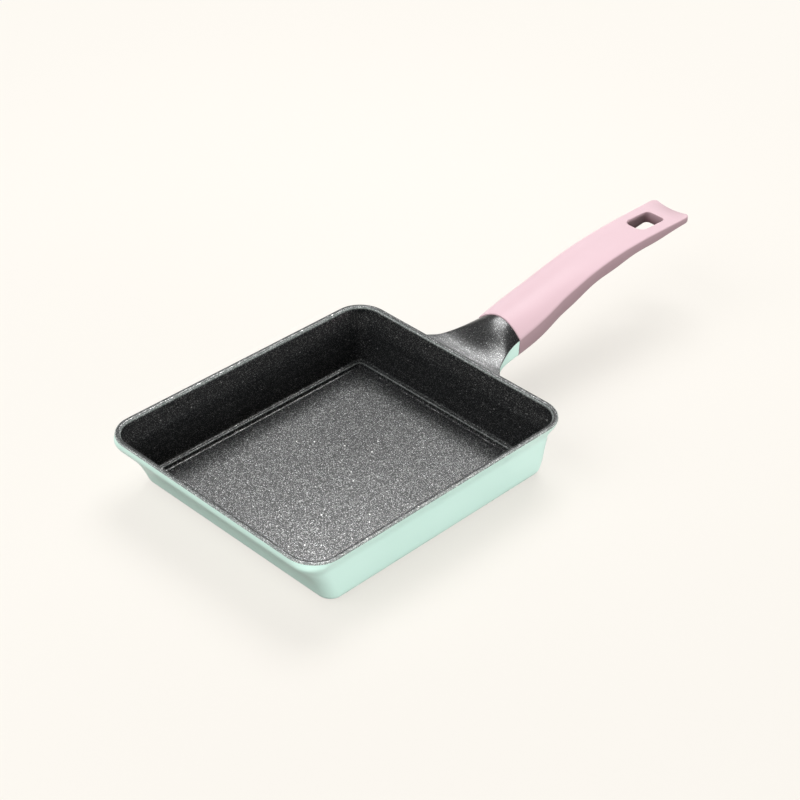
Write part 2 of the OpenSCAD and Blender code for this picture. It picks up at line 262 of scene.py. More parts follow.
root_steps = 8
t = np.concatenate([np.zeros(root_steps), np.linspace(0, 1, neck_steps + 1)])
half = neck_half(t)
edge = neck_edge(t) - lining_thickness
top_y, top_z = arch(half, edge, neck_arch_rise * along(t, neck_arch_shares), 32)
low_y, low_z = under(half, edge, neck_depth * along(t, neck_depth_shares) - lining_thickness,
                     along(t, neck_side_shares), along(t, neck_boxy_shares), 56)
y = np.concatenate([top_y, low_y[:, 1:-1]], axis=1)
z = np.concatenate([top_z, low_z[:, 1:-1]], axis=1)
x = rim_x + neck_length * t[:, None] + 0 * y
inside = wall_x(z) - neck_bite
reach = np.linspace(0, 1, root_steps, endpoint=False)[:, None]
x[:root_steps] = inside[:root_steps] + reach * (rim_x - inside[:root_steps])
dy = np.roll(y, -1, 1) - np.roll(y, 1, 1)
dz = np.roll(z, -1, 1) - np.roll(z, 1, 1)
size = np.maximum(np.hypot(dy, dz), 1e-9)
near_wall = np.clip(1 - (x - wall_x(z)) / neck_fillet, 0, 1)
below = np.clip((edge[:, None] - z) / fillet_band, 0, 1)
spread = neck_fillet * (1 - np.sqrt(1 - near_wall ** 2)) * below ** 2 * (3 - 2 * below)
neck = np.stack([x, y + spread * dz / size, z - spread * dy / size], axis=2)
neck_shell = shut(neck)

# The casting's skin from the step for the plate out over the base, up the wall and down the
# inside, the flat tang, and the pegs in the plate's holes.

plate_diameter = 0.112
plate_thickness = 0.0006
hole_diameter = 0.006
hole_ring_shares = [0.3, 0.54, 0.78]
hole_counts = [6, 10, 14]
step_chamfer = 0.0002
peg_overlap = 0.0002
peg_chamfer = 0.0002
peg_clearance = 0.00002
fit = 0.0003
tang_root = 0.007
tang_length = 0.036
tang_width = 0.016
tang_thickness = 0.007
tang_edge = 0.0008
tang_height = 0.0384
tang_slope = np.radians(14)
screw_diameter = 0.005
screw_distance = 0.024

lift = arc(10, 0, 90)[:-1]
wall = np.linspace(base_edge_radius, rim_side_top, 60)
in_z, in_inset = lined_section(lining_thickness)
section_z = np.concatenate([base_edge_radius * (1 - np.cos(lift)), wall, in_z])
section_inset = np.concatenate([base_edge_radius * (1 - np.sin(lift)), 0 * wall, in_inset])
rings = pan_rings(section_z, section_inset)
bearing = np.arctan2(rings[0, :, 1], rings[0, :, 0])
step = (plate_diameter / 2 + fit) * np.stack([np.cos(bearing), np.sin(bearing)], axis=1)
step_z = np.array([plate_thickness, plate_thickness, step_chamfer, 0.0])
step_r = np.array([0.9, 1.0, 1.0, 1.0 + step_chamfer / (plate_diameter / 2)])
round_rings = np.concatenate([step_r[:, None, None] * step[None],
                              step_z[:, None, None] + 0 * step[None, :, :1]], axis=2)
out = np.array([0.02, 0.4, 0.75, 0.98])[:, None, None]
flat_rings = round_rings[-1:] + out * (rings[:1] - round_rings[-1:])
rings = np.concatenate([round_rings, flat_rings, rings])
pan_shell = skin(rings, [0, 0, plate_thickness], [0, 0, floor_height - lining_thickness])


def turned(profile, steps=48):
    """Rings of points from radius and height pairs turned about the upright axis."""
    a = np.linspace(0, 2 * np.pi, steps, endpoint=False)[None, :]
    r = np.array([p[0] for p in profile])[:, None]
    h = np.array([p[1] for p in profile])[:, None] + 0 * a
    return np.stack([r * np.cos(a), r * np.sin(a), h], axis=2)


def in_tang(points):
    """From the tang's own frame into the pan's: turned up by the tang's slope about the
    width axis, then moved to the tang's middle at the handle's front face."""
    c = np.cos(tang_slope)
    s = np.sin(tang_slope)
    px = points[..., 0]
    pz = points[..., 2]
    at_x = handle_x + px * c - pz * s
    return np.stack([at_x, points[..., 1], tang_height + px * s + pz * c], axis=-1)


def bar(x0, x1, width, thickness, round_edge):
    """Flat bar along the first axis with its four long edges and its far end rounded: a
    rounded rectangle in width and height, drawn in by the same radius at the end."""
    turn = arc(5, 0, 90)
    ring_y = []
    ring_z = []
    for q, (sy, sz) in enumerate([(1, 1), (-1, 1), (-1, -1), (1, -1)]):
        a = turn + q * np.pi / 2
        ring_y.append(sy * (width / 2 - round_edge) + round_edge * np.cos(a))
        ring_z.append(sz * (thickness / 2 - round_edge) + round_edge * np.sin(a))
    ring_y = np.concatenate(ring_y)
    ring_z = np.concatenate(ring_z)
    drawn = round_edge * (1 - np.cos(turn))
    at_x = np.concatenate([[x0], x1 - round_edge + round_edge * np.sin(turn)])
    scale_y = np.concatenate([[1.0], 1 - drawn / (width / 2)])
    scale_z = np.concatenate([[1.0], 1 - drawn / (thickness / 2)])
    rows = np.stack([at_x[:, None] + 0 * ring_y, scale_y[:, None] * ring_y,
                     scale_z[:, None] * ring_z], axis=2)
    return skin(rows, [x0, 0, 0], [x1, 0, 0])


tang_points, tang_faces = bar(-tang_root, tang_length, tang_width, tang_thickness, tang_edge)
tang_shell = (in_tang(tang_points), tang_faces)
peg_radius = hole_diameter / 2 - fit
peg_top = plate_thickness + peg_overlap
peg = turned([(peg_radius, peg_top), (peg_radius, peg_chamfer),
              (peg_radius - peg_chamfer, peg_clearance)], 24)[:, ::-1]
hole_places = []
for share, count in zip(hole_ring_shares, hole_counts):
    for turn in np.arange(count) * 2 * np.pi / count:
        hole_places.append([share * plate_diameter / 2 * np.cos(turn),
                            share * plate_diameter / 2 * np.sin(turn), 0.0])
peg_shells = []
for place in hole_places:
    low = [place[0], place[1], peg_clearance]
    high = [place[0], place[1], peg_top]
    peg_shells.append(skin(peg + np.array(place), high, low))

cast_pan = piece("cast_pan", [pan_shell, neck_shell, tang_shell] + peg_shells)


def shade(red, green, blue):
    """A colour as it is read off a screen, 0 to 255, made linear for the shader."""
    c = np.array([red, green, blue]) / 255
    linear = np.where(c <= 0.04045, c / 12.92, ((c + 0.055) / 1.055) ** 2.4)
    return (*linear.tolist(), 1.0)


def finish(name):
    """An empty finish: its material, node maker, link maker and main shader."""
    material = bpy.data.materials.new(name)
    material.use_nodes = True
    tree = material.node_tree
    shader = tree.nodes["Principled BSDF"]

    def node(kind, **settings):
        made = tree.nodes.new(kind)
        for key, value in settings.items():
            setattr(made, key, value)
        return made

    return material, node, tree.links.new, shader


def blended(node, link, mask, low, high):
    """Colour that runs from low to high with the mask."""
    mix = node("ShaderNodeMix", data_type="RGBA")
    link(mask, mix.inputs[0])
    for socket, value in ((mix.inputs[6], low), (mix.inputs[7], high)):
        if isinstance(value, tuple):
            socket.default_value = value
        else:
            link(value, socket)
    return mix.outputs[2]


def spread_over(node, link, value, low, high, to_low, to_high, smooth=False):
    """A value's range low to high carried over to another range, held at both ends."""
    run = node("ShaderNodeMapRange")
    if smooth:
        run.interpolation_type = "SMOOTHSTEP"
    link(value, run.inputs["Value"])
    run.inputs["From Min"].default_value = low
    run.inputs["From Max"].default_value = high
    run.inputs["To Min"].default_value = to_low
    run.inputs["To Max"].default_value = to_high
    return run.outputs["Result"]


# Sprayed and moulded skins share one grain: a fine orange peel for the bump and a wide,
# faint cloud for the colour and the gloss.
grain = bpy.data.node_groups.new("skin_grain", "ShaderNodeTree")
grain.interface.new_socket("Place", in_out="INPUT", socket_type="NodeSocketVector")
grain.interface.new_socket("Fine", in_out="INPUT", socket_type="NodeSocketFloat")
grain.interface.new_socket("Wide", in_out="INPUT", socket_type="NodeSocketFloat")
grain.interface.new_socket("Peel", in_out="OUTPUT", socket_type="NodeSocketFloat")
grain.interface.new_socket("Cloud", in_out="OUTPUT", socket_type="NodeSocketFloat")
grain_in = grain.nodes.new("NodeGroupInput")
grain_out = grain.nodes.new("NodeGroupOutput")
peel = grain.nodes.new("ShaderNodeTexNoise")
peel.inputs["Detail"].default_value = 3.0
cloud = grain.nodes.new("ShaderNodeTexNoise")
cloud.inputs["Detail"].default_value = 1.5
grain.links.new(grain_in.outputs["Place"], peel.inputs["Vector"])
grain.links.new(grain_in.outputs["Place"], cloud.inputs["Vector"])
grain.links.new(grain_in.outputs["Fine"], peel.inputs["Scale"])
grain.links.new(grain_in.outputs["Wide"], cloud.inputs["Scale"])
grain.links.new(peel.outputs["Fac"], grain_out.inputs["Peel"])
grain.links.new(cloud.outputs["Fac"], grain_out.inputs["Cloud"])


def grained(node, link, fine, wide):
    """The shared grain on Object coordinates, at the given scales per metre: the peel and
    the cloud."""
    group = node("ShaderNodeGroup", node_tree=grain)
    link(node("ShaderNodeTexCoord").outputs["Object"], group.inputs["Place"])
    group.inputs["Fine"].default_value = fine
    group.inputs["Wide"].default_value = wide
    return group.outputs["Peel"], group.outputs["Cloud"]


def raised(node, link, height, strength, distance):
    """Normal bumped by a height."""
    bump = node("ShaderNodeBump")
    bump.inputs["Strength"].default_value = strength
    bump.inputs["Distance"].default_value = distance
    link(height, bump.inputs["Height"])
    return bump.outputs["Normal"]


mint_enamel, node, link, shader = finish("mint_enamel")
fine_peel, faint_cloud = grained(node, link, 900.0, 22.0)
deep_mint = shade(212, 245, 233)
pale_mint = shade(217, 248, 237)
link(blended(node, link, faint_cloud, deep_mint, pale_mint), shader.inputs["Base Color"])
link(spread_over(node, link, faint_cloud, 0, 1, 0.28, 0.32), shader.inputs["Roughness"])
link(raised(node, link, fine_peel, 0.12, 0.0002), shader.inputs["Normal"])
shader.inputs["IOR"].default_value = 1.5
shader.inputs["Coat Weight"].default_value = 0.1
shader.inputs["Coat Roughness"].default_value = 0.12
cast_pan.data.materials.append(mint_enamel)
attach(cast_pan, "root")
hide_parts("pan_body")

# The non-stick lining. A dark stone-effect coat with pale mica specks of three sizes, sprayed
# as one thin closed sheet over the floor, ledge, walls and rim, and feathered out on the neck's
# top. The edges of rim and ledge are painted paler: partly rubbed wear, partly painted
# highlight lines. The neck has a soft lacquer on top, and a painted shade darkens its colour.

under_z, under_inset = lined_section(lining_thickness)
free_z, free_inset = lined_section(0.0)
free_rings = pan_rings(free_z, free_inset)
floor_shares = np.array([0.996, 0.8, 0.45])[:, None, None]
floor_rings = free_rings[-1:] * floor_shares
floor_rings[..., 2] = floor_height
sheet = np.concatenate([pan_rings(under_z[::-1], under_inset[::-1]), free_rings, floor_rings])
sheet_shell = skin(sheet, [0, 0, floor_height - lining_thickness], [0, 0, floor_height])

t = np.concatenate([[0.0], np.linspace(0, 1, neck_steps + 1)])
x = rim_x + neck_length * t
x[0] = rim_x - lining_thickness / 2
half = neck_half(t)
rise = neck_arch_rise * along(t, neck_arch_shares)
s = np.sin(np.linspace(np.pi / 2, -np.pi / 2, 57))[None, :]
y = half[:, None] * s
top = neck_edge(t)[:, None] + rise[:, None] * (1 - s ** 2)
to_edge = np.clip(1 - (half[:, None] - np.abs(y)) / lining_thickness, 0, 1)
feathered = top - lining_thickness * (1 - np.sqrt(1 - to_edge ** 2))
bottom = (top - lining_thickness)[:, -2:0:-1]
y = np.concatenate([y, y[:, -2:0:-1]], axis=1)
z = np.concatenate([feathered, bottom], axis=1)
strip = np.stack([x[:, None] + 0 * y, y, z], axis=2)
strip_shell = shut(strip)
stone_lining = piece("stone_lining", [sheet_shell, strip_shell], 40.0)

# How far each row of the free face is painted paler, from the rim's outer side to the ledge's
# edge: partly rubbed wear, partly painted highlight lines along the rim's and ledge's edges.
outer_arc = [0.85, 0.95, 0.95, 0.95, 0.85, 0.5, 0.1]
inner_arc = [0, 0, 0.05, 0.3, 0.75, 0.8, 0.4, 0.1, 0]
wall_rows = np.zeros(wall_steps)
ledge_arc = [0, 0, 0.05, 0.1, 0.05, 0, 0, 0, 0.15, 0.4, 0.45, 0.25, 0.05, 0]
rubbed_and_highlit_rows = np.concatenate([outer_arc, inner_arc, wall_rows, ledge_arc])
on_top = np.zeros(sheet.shape[:2])
on_top[len(under_z):len(under_z) + len(rubbed_and_highlit_rows)] = rubbed_and_highlit_rows[:, None]
middles = np.zeros(2)
on_strip = np.ones(len(strip_shell[0]))
for mark, values in (("rim", [on_top.ravel(), middles, 0 * on_strip]),
                     ("neck", [0 * on_top.ravel(), middles, on_strip])):
    marked = stone_lining.data.attributes.new(mark, "FLOAT", "POINT")
    marked.data.foreach_set("value", np.concatenate(values))

stone_coat, node, link, shader = finish("stone_coat")
fine_peel, faint_cloud = grained(node, link, 1500.0, 30.0)
place = node("ShaderNodeTexCoord").outputs["Object"]


def worked(node, link, operation, *values, clamp=False):
    """Result of a maths node, each of whose values is a number or another node's output."""
    made = node("ShaderNodeMath", operation=operation, use_clamp=clamp)
    for socket, value in zip(made.inputs, values):
        if isinstance(value, (int, float)):
            socket.default_value = value
        else:
            link(value, socket)
    return made.outputs[0]


def specks(per_metre, kept, smallest, largest):
    """Scattered round specks: one to a cell, kept where the cell's random red passes the
    share, with a radius that grows with its random green."""
    cells = node("ShaderNodeTexVoronoi")
    cells.inputs["Scale"].default_value = per_metre
    link(place, cells.inputs["Vector"])
    random = node("ShaderNodeSeparateColor")
    link(cells.outputs["Color"], random.inputs["Color"])
    radius = spread_over(node, link, random.outputs["Green"], 0, 1, smallest, largest)
    depth = worked(node, link, "SUBTRACT", radius, cells.outputs["Distance"])
    dot = spread_over(node, link, depth, 0.0, 0.12, 0, 1, True)
    chosen = worked(node, link, "GREATER_THAN", random.outputs["Red"], 1 - kept)
    return worked(node, link, "MULTIPLY", dot, chosen), random.outputs["Blue"]


dust, dust_tone = specks(1900.0, 0.92, 0.22, 0.56)
grit, grit_tone = specks(1150.0, 0.27, 0.16, 0.4)
flake, flake_tone = specks(430.0, 0.07, 0.1, 0.26)
ground = blended(node, link, faint_cloud, shade(18, 19, 20), shade(24, 25, 26))
dust_colour = blended(node, link, dust_tone, shade(112, 113, 113), shade(176, 177, 176))
grit_colour = blended(node, link, grit_tone, shade(170, 171, 171), shade(216, 217, 216))
flake_colour = blended(node, link, flake_tone, shade(205, 206, 204), shade(240, 240, 238))
colour = blended(node, link, dust, ground, dust_colour)
colour = blended(node, link, grit, colour, grit_colour)
colour = blended(node, link, flake, colour, flake_colour)
mica = worked(node, link, "MAXIMUM", dust, grit)
all_mica = worked(node, link, "MAXIMUM", mica, flake)
# The paler rows lose their metal sheen: partly rubbed wear, partly painted highlight lines on
# the rim's inner edge and the ledge's edges.
rubbed_and_highlit_edge = node("ShaderNodeAttribute", attribute_name="rim").outputs["Fac"]
rubbed_and_highlit_tone = blended(node, link, mica, shade(126, 133, 130), shade(226, 230, 227))
colour = blended(node, link, rubbed_and_highlit_edge, colour, rubbed_and_highlit_tone)
on_neck = node("ShaderNodeAttribute", attribute_name="neck").outputs["Fac"]
# Painted shade: the neck's colour is drawn about a third of the way towards the dark ground.
neck_painted_shade = worked(node, link, "MULTIPLY", on_neck, 0.35)
link(blended(node, link, neck_painted_shade, colour, ground), shader.inputs["Base Color"])
link(worked(node, link, "SUBTRACT", all_mica, rubbed_and_highlit_edge, clamp=True), shader.inputs["Metallic"])
link(worked(node, link, "MULTIPLY", on_neck, 0.6), shader.inputs["Coat Weight"])
shader.inputs["Coat Roughness"].default_value = 0.42
relief = worked(node, link, "MULTIPLY_ADD", grit, 0.25, fine_peel)
link(raised(node, link, relief, 0.3, 0.0001), shader.inputs["Normal"])
link(spread_over(node, link, faint_cloud, 0.3, 0.7, 0.28, 0.33), shader.inputs["Roughness"])
shader.inputs["IOR"].default_value = 1.5
stone_lining.data.materials.append(stone_coat)
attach(stone_lining, "root")
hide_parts("nonstick_lining")

# The base plate. Thin stainless steel pressed flush into the step of the base so that the
# pan heats on an induction hob, with three rings of holes round the casting's pegs. It is
# brushed on a turntable, so its fine lines run round the middle.

plate_edge = 0.0001
plate_sides = 160
hole_sides = 32
outline = bpy.data.curves.new("base_plate_outline", "CURVE")
outline.dimensions = "2D"
outline.fill_mode = "BOTH"
outline.extrude = plate_thickness / 2 - plate_edge
outline.bevel_depth = plate_edge
outline.bevel_resolution = 1
circles = [(0.0, 0.0, plate_diameter / 2 - plate_edge, plate_sides)]
circles += [(p[0], p[1], hole_diameter / 2 + plate_edge, hole_sides) for p in hole_places]
for cx, cy, r, count in circles:
    a = np.linspace(0, 2 * np.pi, count, endpoint=False)
    ring = np.stack([cx + r * np.cos(a), cy + r * np.sin(a), 0 * a, 0 * a + 1], axis=1)
    loop = outline.splines.new("POLY")
    loop.points.add(count - 1)
    loop.points.foreach_set("co", ring.ravel())
    loop.use_cyclic_u = True
drawn = bpy.data.objects.new("base_plate_outline", outline)
bpy.context.scene.collection.objects.link(drawn)
plate_mesh = bpy.data.meshes.new_from_object(drawn.evaluated_get(
    bpy.context.evaluated_depsgraph_get()))
bpy.data.objects.remove(drawn)
plate_mesh.transform(Matrix.Translation((0, 0, plate_thickness / 2)))
plate_mesh.shade_smooth()
plate_mesh.set_sharp_from_angle(angle=np.radians(30))
steel_plate = bpy.data.objects.new("steel_plate", plate_mesh)
bpy.context.scene.collection.objects.link(steel_plate)


def round_brushing(node, link, place, across, around):
    """Lines that run round the upright axis: noise on the radius, stretched in angle."""
    parts = node("ShaderNodeSeparateXYZ")
    link(place, parts.inputs[0])
    length = node("ShaderNodeVectorMath", operation="LENGTH")
    flat = node("ShaderNodeCombineXYZ")
    link(parts.outputs["X"], flat.inputs["X"])
    link(parts.outputs["Y"], flat.inputs["Y"])
    link(flat.outputs[0], length.inputs[0])
    angle = worked(node, link, "ARCTAN2", parts.outputs["Y"], parts.outputs["X"])
    polar = node("ShaderNodeCombineXYZ")
    for value, factor, socket in ((length.outputs["Value"], across, "X"),
                                  (worked(node, link, "COSINE", angle), around, "Y"),
                                  (angle, around * 0.5, "Z")):
        link(worked(node, link, "MULTIPLY", value, factor), polar.inputs[socket])
    lines = node("ShaderNodeTexNoise")
    lines.inputs["Scale"].default_value = 1.0
    lines.inputs["Detail"].default_value = 3.0
    link(polar.outputs[0], lines.inputs["Vector"])
    return lines.outputs["Fac"]


brushed_plate, node, link, shader = finish("brushed_plate")
place = node("ShaderNodeTexCoord").outputs["Object"]
lines = round_brushing(node, link, place, 4200.0, 2.5)
link(blended(node, link, lines, shade(168, 170, 173), shade(205, 206, 208)),
     shader.inputs["Base Color"])
link(spread_over(node, link, lines, 0.3, 0.7, 0.26, 0.42), shader.inputs["Roughness"])
link(raised(node, link, lines, 0.25, 0.0001), shader.inputs["Normal"])
shader.inputs["Metallic"].default_value = 1.0
steel_plate.data.materials.clear()
steel_plate.data.materials.append(brushed_plate)
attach(steel_plate, "root")
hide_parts("base_plate")

# The handle. One heat-proof moulding in soft matt pink, arched across its top near the pan
# and flat at the tip, with a crisp long edge each side, shallow finger waves underneath and a
# hanging hole. It slides over the tang and is held there by one screw from below.

handle_length = 0.153
handle_width = 0.0314
handle_edge_height = 0.0415
handle_rise = 0.0194
handle_arch_rise = 0.0083
handle_depth = 0.015
front_swell = 0.0007
wave_height = 0.0006
wave_count = 4
swell_share = 0.24
handle_side_share = 0.4
handle_boxy_share = 0.62
tip_corner_radius = 0.004
tip_hollow = 0.0012
hollow_reach = 0.009
hollow_margin = 0.002
edge_softness = 0.0009
front_round = 0.0004
tip_round = 0.0008
handle_width_shares = [1, 0.945, 0.895, 0.86, 0.845, 0.848, 0.863, 0.88]
handle_climb_shares = [0, 0.28, 0.58, 0.82, 0.955, 1, 0.995, 0.975]
handle_arch_shares = [1, 0.74, 0.54, 0.37, 0.26, 0.17, 0.07, -0.1]
handle_depth_shares = [0.97, 1.04, 0.94, 0.83, 0.73, 0.64, 0.53, 0.37]
tip_x = handle_x + handle_length


def handle_sizes(x):
    """Half width, edge height, arch rise and depth of the handle at a place along it: smooth
    curves through the rows of shares, with half a sine of swell in the front quarter's width
    and four sine waves in the depth, which fade towards both ends."""
    t = (x - handle_x) / handle_length
    swell = np.where(t < swell_share, front_swell * np.sin(np.pi * t / swell_share), 0)
    half = handle_width / 2 * along(t, handle_width_shares) + swell
    edge = handle_edge_height + handle_rise * along(t, handle_climb_shares)
    rise = handle_arch_rise * along(t, handle_arch_shares)
    wave = wave_height * np.sin(np.pi * t) * np.sin(2 * np.pi * wave_count * t)
    return half, edge, rise, handle_depth * along(t, handle_depth_shares) + wave


def softened(ay, az, cy, cz, by, bz, steps=7):
    """Rounds a corner c between a and b. For a share w from 0 to 1, a counts by the square
    of the rest of the share, c by twice the share times its rest, and b by its square."""
    w = np.linspace(0, 1, steps)[None, :]
    y = (1 - w) ** 2 * ay[:, None] + 2 * w * (1 - w) * cy[:, None] + w ** 2 * by[:, None]
    z = (1 - w) ** 2 * az[:, None] + 2 * w * (1 - w) * cz[:, None] + w ** 2 * bz[:, None]
    return y, z


def handle_sections(x, narrower):
    """Closed sections across the handle: the arched top, a softened long edge, the side and
    underside, and the other long edge."""
    half, edge, rise, depth = handle_sizes(x)
    half = half - narrower
    cut = edge_softness / half
    s = (1 - cut[:, None]) * np.linspace(1, -1, 45)[None, :]
    top_y = half[:, None] * s
    top_z = edge[:, None] + rise[:, None] * (1 - s ** 2)
    side = depth * handle_side_share
    drop = np.minimum(edge_softness, side * 0.7)
    even = np.full_like(half, handle_boxy_share)
    low_y, low_z = under(half, edge, depth, np.full_like(half, handle_side_share), even, 88)
    left_y, left_z = softened(top_y[:, -1], top_z[:, -1], -half, edge, -half, edge - drop)
    right_y, right_z = softened(half, edge - drop, half, edge, top_y[:, 0], top_z[:, 0])
    y = np.concatenate([top_y, left_y[:, 1:], low_y, right_y[:, :-1]], axis=1)
    z = np.concatenate([top_z, left_z[:, 1:], low_z, right_z[:, :-1]], axis=1)
    return y, z


def drawn_in(y, z, by):
    """Moves each point of closed sections inwards by its own amount, square to the line
    between its two neighbours."""
    dy = np.roll(y, -1, 1) - np.roll(y, 1, 1)
    dz = np.roll(z, -1, 1) - np.roll(z, 1, 1)
    size = np.maximum(np.hypot(dy, dz), 1e-9)
    return y - by[:, None] * dz / size, z + by[:, None] * dy / size


lead = arc(5, 0, 90)
front = handle_x + front_round * (1 - np.cos(lead))
run = np.linspace(handle_x + front_round, tip_x - tip_corner_radius, 150)
tail = arc(26, 0, 90)
end = tip_x - tip_corner_radius + tip_corner_radius * np.sin(tail)
x = np.concatenate([front[:-1], run, end[1:]])
narrower = np.concatenate([0 * front[:-1], 0 * run, tip_corner_radius * (1 - np.cos(tail[1:]))])
y, z = handle_sections(x, narrower)
into = np.clip(x - (tip_x - tip_round), 0, tip_round)
first = np.clip(handle_x + front_round - x, 0, front_round)
pulled = tip_round - np.sqrt(tip_round ** 2 - into ** 2)
pulled += front_round - np.sqrt(front_round ** 2 - first ** 2)
y, z = drawn_in(y, z, pulled)
x = x[:, None] + 0 * y
middle_z = z[-1].mean()
shrink = np.array([0.85, 0.6, 0.3])[:, None]
y = np.concatenate([y, shrink * y[-1:]])
z = np.concatenate([z, middle_z + shrink * (z[-1:] - middle_z)])
x = np.concatenate([x, tip_x + 0 * shrink * x[-1:]])
end_half = np.abs(y[-4]).max()
hollowed = np.clip((x - tip_x + hollow_reach) / hollow_reach, 0, 1)
x = x - tip_hollow * hollowed ** 2 * np.clip(1 - (y / (end_half + hollow_margin)) ** 2, 0, 1)
sections = np.stack([x, y, z], axis=2)
handle_shell = skin(sections, [handle_x, 0, tang_height], [tip_x - tip_hollow, 0, middle_z])
soft_handle = piece("soft_handle", [handle_shell])

# The hanging hole goes right through, with its edges rolled over above and below.
hole_length = 0.023
hole_width = 0.0134
hole_to_tip = 0.0155
hole_tip_radius = 0.0028
hole_pan_radius = 0.0054
hole_lip = 0.0005
lip_reach = 0.0012
lip_rise = 0.00034
hole_overrun = 0.004


def hole_outline(offset):
    """Outline of the hanging hole grown by each offset: four arcs about fixed centres,
    tight ones towards the tip and wide ones towards the pan."""
    far = tip_x - hole_to_tip
    near = far - hole_length
    turn = np.linspace(0, np.pi / 2, 15)
    runs = []
    for q, (cx, r, side) in enumerate([(far - hole_tip_radius, hole_tip_radius, 1),
                                       (near + hole_pan_radius, hole_pan_radius, 1),
                                       (near + hole_pan_radius, hole_pan_radius, -1),
                                       (far - hole_tip_radius, hole_tip_radius, -1)]):
        a = turn + q * np.pi / 2
        grown = r + offset[:, None]
        runs.append(np.stack([cx + grown * np.cos(a),
                              side * (hole_width / 2 - r) + grown * np.sin(a)], axis=2))
    return np.concatenate(runs, axis=1)


def top_height(x, y):
    """Height of the handle's top: its edge height plus the arch."""
    half, edge, rise = handle_sizes(x)[:3]
    return edge + rise * (1 - (y / half) ** 2)


def low_height(x, y):
    """Height of the handle's underside, from the boxy oval solved for the width."""
    half, edge, _, depth = handle_sizes(x)
    c = np.clip(np.abs(y) / half, 0, 1) ** (1 / handle_boxy_share)
    round_part = (1 - handle_side_share) * np.sqrt(1 - c ** 2) ** handle_boxy_share
    return edge - depth * (handle_side_share + round_part)


roll = arc(8, 0, 74)
lip_offset = hole_lip * (1 - np.cos(roll))
lip_depth = hole_lip * (1 - np.sin(roll))
lip_offset = np.append(lip_offset, [lip_offset[-1] + lip_reach, lip_offset[-1] + lip_reach])
lip_depth = np.append(lip_depth, [lip_depth[-1] - lip_rise, -hole_overrun])
plan = hole_outline(np.concatenate([lip_offset[::-1], lip_offset]))
px = plan[..., 0]
py = plan[..., 1]
count = len(lip_depth)
low = low_height(px[:count], py[:count]) + lip_depth[::-1][:, None]
high = top_height(px[count:], py[count:]) - lip_depth[:, None]
cutter = np.stack([px, py, np.concatenate([low, high])], axis=2)
hole_cutter = piece("hole_cutter", [shut(cutter)])

# The socket for the tang, the well for the screw's head and the hole for its shank.
seat_wall = 0.002
socket_edge = 0.0009
washer_diameter = 0.0096
well_flare = 0.0016
flare_depth = 0.0005
well_overrun = 0.0011
well_search = 0.02
shank_overrun = 0.001
seat_z = -(tang_thickness / 2 + fit + seat_wall)


def placed(shell, x):
    """A turned shell moved along the tang to x and into the pan's frame."""
    points, faces = shell
    return in_tang(points + np.array([x, 0, 0])), faces


def rod(profile):
    """Closed solid turned from radius and height pairs, lowest first."""
    return skin(turned(profile), [0, 0, profile[0][1]], [0, 0, profile[-1][1]])


socket_points, socket_faces = bar(-tang_root, tang_length + fit, tang_width + 2 * fit,
                                  tang_thickness + 2 * fit, socket_edge)
socket_cutter = piece("socket_cutter", [(in_tang(socket_points), socket_faces)])
well_radius = washer_diameter / 2 + fit
down = np.linspace(-well_search, 0, 400)
on_axis = in_tang(np.stack([screw_distance + 0 * down, 0 * down, down], axis=1))
gap = on_axis[:, 2] - low_height(on_axis[:, 0], 0 * down)
mouth = float(np.interp(0, gap, down))
well = rod([(well_radius + well_flare, mouth - well_overrun),
            (well_radius, mouth + flare_depth), (well_radius, seat_z)])
well_cutter = piece("well_cutter", [placed(well, screw_distance)])
shank = rod([(screw_diameter / 2 + fit, seat_z - shank_overrun),
             (screw_diameter / 2 + fit, 0.0)])
shank_cutter = piece("shank_cutter", [placed(shank, screw_distance)])


def cut_away(body, cutters):
    """Takes the cutters' shapes out of the body for good, and removes the cutters."""
    for cutter in cutters:
        hollow = body.modifiers.new(cutter.name, "BOOLEAN")
        hollow.operation = "DIFFERENCE"
        hollow.solver = "EXACT"
        hollow.object = cutter
    carved = bpy.data.meshes.new_from_object(body.evaluated_get(
        bpy.context.evaluated_depsgraph_get()))
    body.modifiers.clear()
    body.data = carved
    for cutter in cutters:
        bpy.data.objects.remove(cutter)
    carved.shade_smooth()
    carved.set_sharp_from_angle(angle=np.radians(35))


cut_away(soft_handle, [hole_cutter, socket_cutter, well_cutter, shank_cutter])
even = soft_handle.modifiers.new("even_shading", "WEIGHTED_NORMAL")
even.keep_sharp = True

# Painted shade: the sides and underside, and most of all the hanging hole's wall, get a deeper
# pink that stands in for the shade there.
painted_shade_band = 0.0012
hole_margin = 0.0002
side_painted_shade = 0.42
hole_painted_shade = 0.95
corners = np.empty(3 * len(soft_handle.data.vertices))
soft_handle.data.vertices.foreach_get("co", corners)
x, y, z = corners.reshape(-1, 3).T
half, edge = handle_sizes(x)[:2]
below = np.clip((edge - z) / painted_shade_band, 0, 1)
hole_middle = tip_x - hole_to_tip - hole_length / 2
within = np.abs(x - hole_middle) < hole_length / 2 + hole_margin
within &= np.abs(y) < hole_width / 2 + hole_margin
painted_shade = soft_handle.data.attributes.new("painted_shade", "FLOAT", "POINT")
painted_shade.data.foreach_set("value", below * np.where(within, hole_painted_shade, side_painted_shade))

pink_moulding, node, link, shader = finish("pink_moulding")
fine_peel, faint_cloud = grained(node, link, 1800.0, 18.0)
top_pink = blended(node, link, faint_cloud, shade(194, 165, 172), shade(198, 170, 177))
